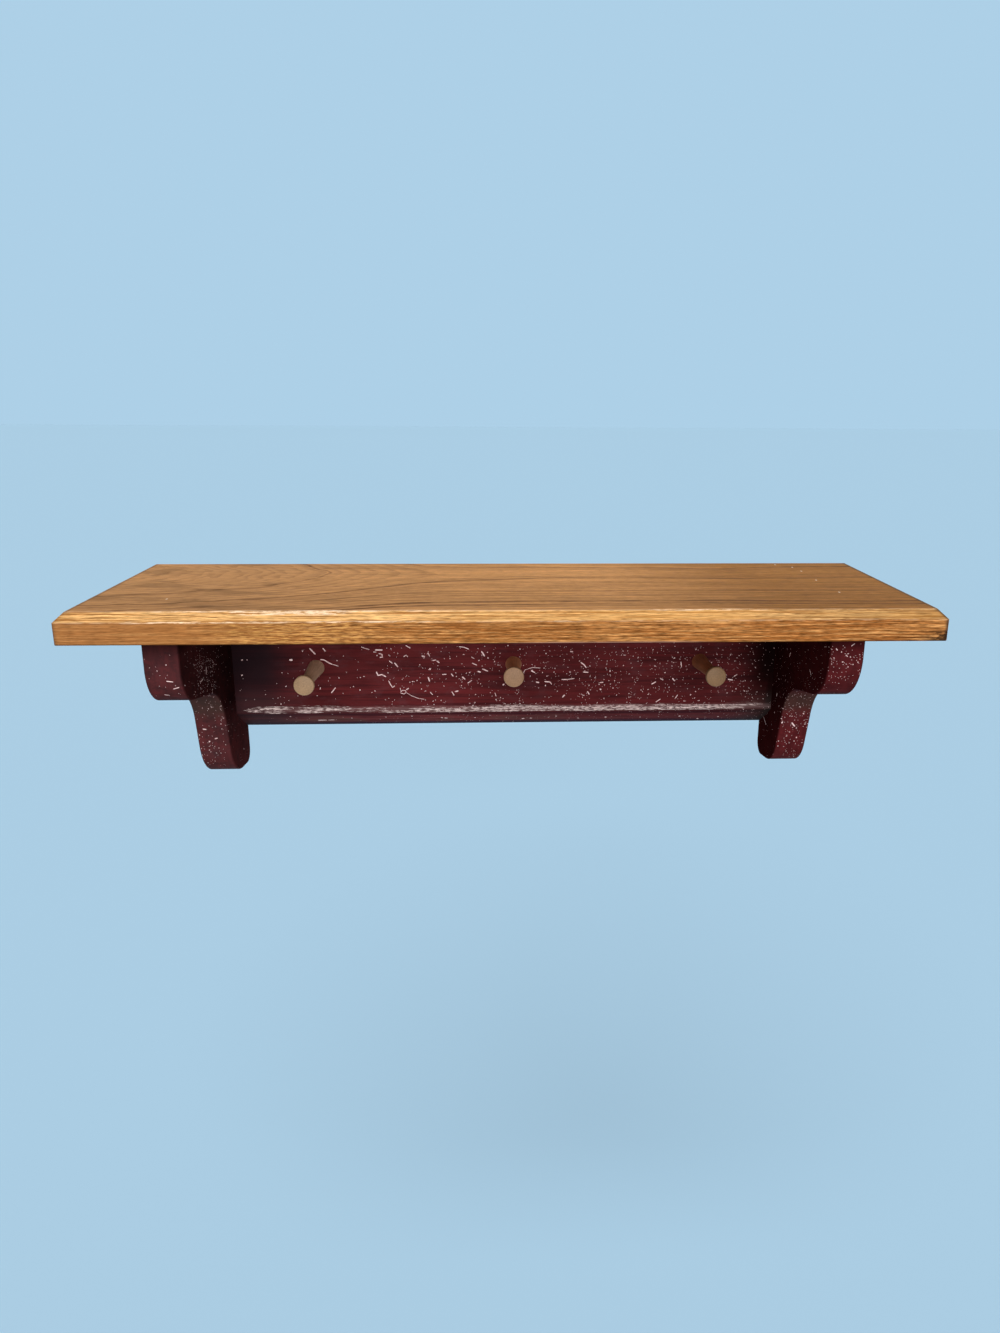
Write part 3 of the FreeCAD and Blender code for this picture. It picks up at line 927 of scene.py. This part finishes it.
# Marks of pale paint, in pixels of the photograph: half a mark's width, then the points it follows
rail_marks = [
    (1.3, (242, 660)), (0.8, (247, 660)), (1.2, (242, 675.3)), (1.9, (290.2, 660), (291.6, 660)),
    (1.2, (310, 648.8), (315, 654)), (1.0, (323.2, 648.6), (325, 651)),
    (1.0, (320.8, 659.6), (324, 659.9), (329, 663), (332, 664.2)), (0.6, (333, 664.5), (338, 666)),
    (0.8, (302.5, 651.3)), (0.8, (304.5, 669.8)), (0.7, (282, 672.8)), (1.0, (286, 686.3)),
    (1.1, (331.7, 692.5), (335.3, 688)), (0.7, (320.5, 687.5), (320.3, 689)),
    (1.0, (364, 676.5)), (0.7, (360.4, 677.5)), (0.8, (339, 678)), (0.8, (337, 660.5)),
    (0.7, (343.5, 656)), (0.7, (361.5, 647), (365, 648.4), (369, 649.5)),
    (1.3, (375.8, 650), (381.8, 650)), (1.2, (377, 655.5)), (0.7, (373.6, 652), (376, 652)),
    (1.1, (379.3, 653.6), (382, 654.3), (382.3, 657.3), (380.4, 657.3)),
    (1.2, (376.5, 672.2), (378, 675.4), (382, 674.6), (385.5, 676.5)),
    (0.9, (353.5, 686.5)), (1.1, (360, 690)), (1.1, (375, 691)), (0.8, (372, 692.5)),
    (1.0, (281, 704)), (0.8, (278, 698)), (0.7, (265.5, 694.5)),
    (1.0, (389.6, 661.2), (392, 663)), (1.2, (394.8, 663.2), (397.5, 666.5)),
    (0.9, (388.7, 681), (390.5, 684.5), (392.5, 687.4), (394.5, 686)),
    (0.8, (406, 645.6), (410, 648)), (0.9, (404, 656.5), (406, 655), (407.5, 656.5)),
    (1.4, (422.4, 656.1), (424.3, 656.5)), (0.9, (428, 653), (429.5, 656)), (1.5, (430, 669)),
    (1.0, (433, 660.5), (435.5, 660)), (1.0, (437, 661), (439, 662.5)),
    (1.2, (428.3, 677.6), (429.5, 681)),
    (0.8, (400.7, 692), (402.3, 690.4), (405.4, 690.5), (406.2, 692.4), (404, 694), (401.2, 693.2)),
    (0.7, (400.8, 690.4), (400.2, 688.2)), (1.0, (406.6, 689.6), (408.4, 688.4)),
    (0.5, (407, 693), (412, 696), (418, 698.2)), (0.5, (418.5, 698.4), (424, 699.2)),
    (1.0, (412.6, 681.5)), (0.9, (417, 680.5)), (0.9, (421.5, 689)), (0.9, (425.5, 691)),
    (0.9, (430.5, 692.5), (432.5, 694.5)), (0.7, (435.5, 700)), (0.9, (434, 704.5)),
    (0.7, (441, 700.5)), (0.9, (442.5, 674.5), (446, 674.3)),
    (1.0, (459.5, 646.7), (464, 647.2), (468.5, 649)), (0.9, (463.5, 654.5)), (0.9, (450, 658.5)),
    (1.0, (453.5, 669.5)), (0.9, (451.5, 674), (453, 676)), (0.8, (456.5, 676.5)),
    (1.2, (462.6, 677.1), (464.8, 679)), (1.0, (469.5, 672.5)), (1.3, (478.2, 671.4), (480.2, 672)),
    (0.9, (472.4, 663.2), (476.5, 665)), (1.0, (482.6, 669), (487.5, 671)),
    (1.5, (481.8, 651.8), (484.2, 655.6)), (0.9, (487.5, 652.3)), (1.2, (488, 658)),
    (0.8, (482, 666)), (0.9, (478, 648.5)), (1.0, (479, 660.5)), (1.0, (494.5, 661.5)),
    (0.8, (498, 665)), (0.7, (471.5, 657), (474, 658.5)), (0.8, (468, 683), (471.5, 680.5)),
    (0.8, (461.5, 685.5)), (1.2, (455.4, 691.5), (457.8, 691)), (0.9, (452, 692), (454, 695)),
    (0.8, (475.5, 694.5)), (1.4, (503.5, 684.5)), (0.5, (523.7, 672.5), (525, 669.8), (528, 669)),
    (0.5, (528.5, 668.6), (533, 667.5), (540, 668)), (1.2, (531.6, 670.8), (534.5, 672.4)),
    (1.2, (536.6, 682.1), (538.6, 682.5)), (1.0, (545, 681.5), (550, 682), (551.5, 684)),
    (1.0, (545.5, 685.5)), (1.0, (546, 653.5)), (1.1, (508, 645.6)), (1.1, (520, 649)),
    (0.9, (542.5, 672.5)), (0.9, (547, 676)), (0.9, (520, 703.5)), (0.7, (536, 703.5)),
    (0.8, (500.5, 697.5)), (0.9, (496, 699.5)), (0.6, (495, 693), (496, 696)),
    (0.9, (475, 702.5)), (0.9, (473, 705.5)), (0.9, (436, 709)),
    (0.9, (562, 679.5), (567, 679.5)), (0.7, (567.5, 679.4), (574, 678.5)),
    (1.0, (570.6, 651.5), (572.6, 651.7)), (0.9, (579.5, 661)),
    (1.2, (581.2, 662.7), (584, 664.6), (586, 667.3)), (0.9, (583.5, 672), (588, 672.3)),
    (0.8, (597, 656.5)), (0.8, (590, 666)), (1.0, (600.3, 682.5), (602.8, 682.3)),
    (0.8, (599, 684.5)), (1.4, (600.5, 689.3)), (0.8, (590.5, 689.8)),
    (1.1, (587.6, 691.7), (589, 694)), (1.1, (570, 672)), (0.9, (555, 668.5)), (0.8, (554, 672)),
    (1.1, (562.7, 696.9), (564.3, 695.2)), (1.3, (610, 671)), (0.9, (623.5, 665.5)),
    (0.9, (623, 651)), (0.8, (606, 668)), (1.0, (613, 688)), (0.8, (610.5, 684)),
    (0.8, (616.5, 695)), (0.8, (629, 693.5)), (0.8, (604, 698.5)),
    (1.2, (652.2, 683.8), (655.3, 682.1)), (0.9, (655, 666)), (0.9, (653, 649.7)),
    (0.7, (660.5, 678.5), (663, 680)), (1.0, (672.6, 678.5), (674.4, 680.7)),
    (0.7, (648, 689.5)), (0.9, (641, 690)), (0.9, (656.2, 701.8), (660, 699.2)),
    (0.7, (675.5, 698), (677.5, 695)), (0.7, (681.5, 667), (681, 662)),
    (0.9, (674.5, 658)), (0.9, (665, 672.5)), (0.8, (672, 666)), (1.1, (696, 649.3)),
    (0.8, (678, 652.5)), (1.0, (690.5, 694.8)), (0.9, (695.5, 691.5)), (0.9, (684, 701)),
    (0.9, (699, 700.5)), (0.9, (694.5, 698)), (0.9, (711.5, 662.5)), (0.7, (718.5, 665)),
    (0.8, (717, 654.5)), (0.8, (730.5, 655)), (1.1, (728.4, 679.3), (732.3, 680)),
    (0.6, (734, 676.5), (737, 674.5)), (1.0, (736, 688.8)), (0.8, (732.5, 691)),
    (0.9, (744.5, 691)), (0.7, (749, 688)), (0.8, (755.5, 667.5)), (1.0, (743.5, 709.3)),
    (2.4, (523, 718.5)), (2.0, (531, 718)), (2.2, (446, 718)), (1.6, (442, 717.5)),
    (2.2, (605.5, 717)), (1.0, (659.5, 712)), (1.8, (679.5, 716)), (2.0, (697.5, 718.5)),
    (1.8, (319, 720.2), (326, 720)), (1.4, (329, 720), (334, 719.8)), (1.5, (290.5, 716.5)),
    (1.5, (412, 716)), (1.4, (475, 717.5)), (1.6, (556, 716)), (1.4, (578, 718)), (1.4, (640, 717)),
    (1.5, (718, 716.5)), (1.3, (352, 718)), (1.3, (386, 717)),
]
left_marks = [
    (0.9, (167, 681.3), (172.6, 682)), (0.9, (173.8, 689), (179, 687.5), (184.8, 685.6)),
    (0.6, (164.9, 694.8), (169.5, 695.3)), (0.8, (157, 671)), (0.8, (166, 665)),
    (0.9, (206.2, 667.2), (206.2, 674)), (0.8, (203, 679), (200.5, 682)), (0.8, (214, 664)),
    (1.0, (211.3, 707)), (1.0, (221, 706)), (1.0, (208.3, 708.8)), (0.8, (202.5, 708)),
    (1.2, (203.6, 729.2), (205.8, 729.4)), (1.3, (215.4, 738.7), (217, 738.2)),
    (1.3, (209.5, 741.5)), (0.8, (199.5, 735)), (1.0, (228.5, 731)), (0.9, (244, 749)),
    (0.8, (209.5, 750)), (0.8, (221, 724)), (0.8, (213.5, 697)), (0.8, (219, 748)),
]
right_marks = [
    (0.8, (836.3, 648.9), (837.4, 650)), (1.0, (841.6, 652)), (0.9, (846.2, 655.2), (847.3, 656.4)),
    (0.5, (851.5, 646), (854.5, 643.8)), (0.9, (834, 658)), (0.9, (842.5, 662)), (0.9, (848, 667)),
    (0.9, (850.5, 657)), (0.8, (853, 664.5)), (0.8, (858, 662)), (0.9, (829, 647), (831, 648.5)),
    (1.0, (770, 661.5)), (0.8, (766.5, 687)), (0.9, (777, 693.5), (776.6, 696)), (1.0, (774.5, 712.5)),
    (0.9, (779, 706)), (0.8, (778.5, 679)), (1.0, (789.5, 656.5), (790.5, 653)),
    (0.8, (809.7, 669.8), (811, 674.9)), (0.9, (826, 646.8)), (0.8, (805.4, 652)),
    (0.7, (760.5, 717), (763.4, 716.7)), (0.7, (763.6, 717), (766, 724.5)),
    (1.7, (782.1, 722.6)), (1.4, (792.1, 723), (794.4, 726)), (0.9, (796.4, 728)),
    (1.3, (796.4, 737.4)), (1.0, (778.5, 741)), (0.9, (777.8, 746)), (1.0, (805, 724)),
    (1.0, (803.5, 713.5)), (0.9, (781.3, 718.5)), (0.9, (794, 741)), (0.9, (789.5, 732)),
    (0.9, (786, 751)), (0.9, (790, 716)), (0.8, (800.5, 707)),
]

# Areas strewn with finer drops, in pixels of the photograph: left, upper, right and lower, how many
# drops are tried, and the largest half width
rail_areas = [
    (238, 646, 400, 722, 70, 0.42),
    (380, 646, 560, 722, 320, 0.46),
    (560, 646, 770, 722, 560, 0.43),
]
left_areas = [
    (142, 662, 186, 698, 12, 0.36),
    (194, 656, 216, 696, 170, 0.44),
    (184, 646, 226, 672, 50, 0.34),
    (196, 700, 226, 766, 90, 0.36),
    (222, 700, 248, 766, 14, 0.34),
]
right_areas = [
    (828, 645, 864, 666, 50, 0.36),
    (828, 666, 864, 684, 26, 0.36),
    (768, 646, 826, 700, 120, 0.34),
    (782, 690, 812, 757, 130, 0.46),
    (756, 690, 786, 757, 40, 0.34),
]

# Stations of a drop across its path: shares of its half width and of its height
drop_section_shares = [(-1.0, None), (-0.8, 0.55), (-0.3, 1.0), (0.3, 1.0), (0.8, 0.55), (1.0, None)]
# Stations along each rounded end, as shares of the half width
drop_end_shares = (0.1, 0.4, 1.0)


def stretched(spot, half_width, draw):
    """Two spots a little apart, for a drop that is nearly round."""
    place, normal = spot
    aside = normal.orthogonal()
    turn = draw.uniform(0, math.tau)
    along = math.cos(turn) * aside + math.sin(turn) * normal.cross(aside)
    stretch = draw.uniform(*drop_stretch_shares) * half_width
    return [(place - along * stretch, normal), (place + along * stretch, normal)]


def drop_stations(spots, half_width):
    """Stations along a drop with round ends: a place, a normal and how full the drop is there."""
    first = (spots[0][0] - spots[1][0]).normalized()
    last = (spots[-1][0] - spots[-2][0]).normalized()
    stations = []
    for share in drop_end_shares:
        back = half_width * (1 - share)
        stations.append((spots[0][0] + first * back, spots[0][1], share))
    for place, normal in spots[1:-1]:
        stations.append((place, normal, 1.0))
    for share in reversed(drop_end_shares):
        back = half_width * (1 - share)
        stations.append((spots[-1][0] + last * back, spots[-1][1], share))
    return stations


def add_drop(vertices, faces, spots, half_width, draw):
    """Adds one thin closed drop that follows spots, each a place and a normal."""
    if len(spots) == 1:
        spots = stretched(spots[0], half_width, draw)
    stations = drop_stations(spots, half_width)
    start = len(vertices)
    count = len(drop_section_shares)
    height = drop_height * min(1.0, half_width / pixel_size)
    for index, (place, up, share) in enumerate(stations):
        before = stations[max(index - 1, 0)][0]
        after = stations[min(index + 1, len(stations) - 1)][0]
        side = up.cross(after - before).normalized()
        fullness = math.sqrt(1 - (1 - share) ** 2)
        width = half_width * fullness * draw.uniform(*drop_width_shares)
        for across, lift in drop_section_shares:
            level = -drop_sink if lift is None else height * fullness * lift
            vertices.append(place + side * (across * width) + up * level)
    for index in range(len(stations) - 1):
        for corner in range(count):
            one = start + index * count + corner
            two = start + index * count + (corner + 1) % count
            faces.append((one, one + count, two + count, two))
    faces.append(tuple(range(start, start + count)))
    end = start + (len(stations) - 1) * count
    faces.append(tuple(reversed(range(end, end + count))))


def spatter(name, carrier, marks, areas, seed):
    """One piece of drops on a node: its marks, and finer drops strewn over areas."""
    draw = random.Random(seed)
    vertices, faces = [], []
    for half_width, *pixels in marks:
        spots = [seen_at(pixel, carrier) for pixel in pixels]
        if all(spots):
            add_drop(vertices, faces, spots, half_width * pixel_size * mark_blur_share, draw)
    for left, upper, right, lower, count, largest in areas:
        for attempt in range(count):
            pixel = (draw.uniform(left, right), draw.uniform(upper, lower))
            # The cube makes most drops small
            half_width = smallest_drop + (largest - smallest_drop) * draw.random() ** 3
            spot = seen_at(pixel, carrier)
            if spot:
                add_drop(vertices, faces, [spot], half_width * pixel_size, draw)
    mesh = bpy.data.meshes.new(name)
    mesh.from_pydata(vertices, [], faces)
    mesh.shade_smooth()
    mesh.materials.append(spatter_paint())
    piece = bpy.data.objects.new(name, mesh)
    bpy.context.scene.collection.objects.link(piece)
    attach(piece, "root")


make_camera()
make_world()
make_floor()
for name, settings in lamps.items():
    make_lamp(name, *settings)

names = sorted(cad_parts)
dress(stained_top(), ["shelf_top"])
dress(rail_paint(), ["peg_board"])
dress(bracket_paint(), ["bracket_left", "bracket_right"])
for name, (head_colour, stem_colour) in peg_colours.items():
    dress(peg_wood(name, head_colour, stem_colour), [name])
dress(dowel_wood(), [name for name in names if "dowel" in name])
zinc = plain_steel("plate_steel", (0.60, 0.59, 0.55), (0.33, 0.32, 0.30))
dress(zinc, ["keyhole_plate_left", "keyhole_plate_right"])
yellow_zinc = plain_steel("screw_steel", (0.55, 0.50, 0.38), (0.30, 0.26, 0.18))
dress(yellow_zinc, [name for name in names if "plate_screw" in name])

spatter("spatter_board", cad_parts["peg_board"], rail_marks, rail_areas, seed=11)
spatter("spatter_left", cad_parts["bracket_left"], left_marks, left_areas, seed=12)
spatter("spatter_right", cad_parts["bracket_right"], right_marks, right_areas, seed=13)
bpy.context.scene.view_settings.view_transform = "Standard"
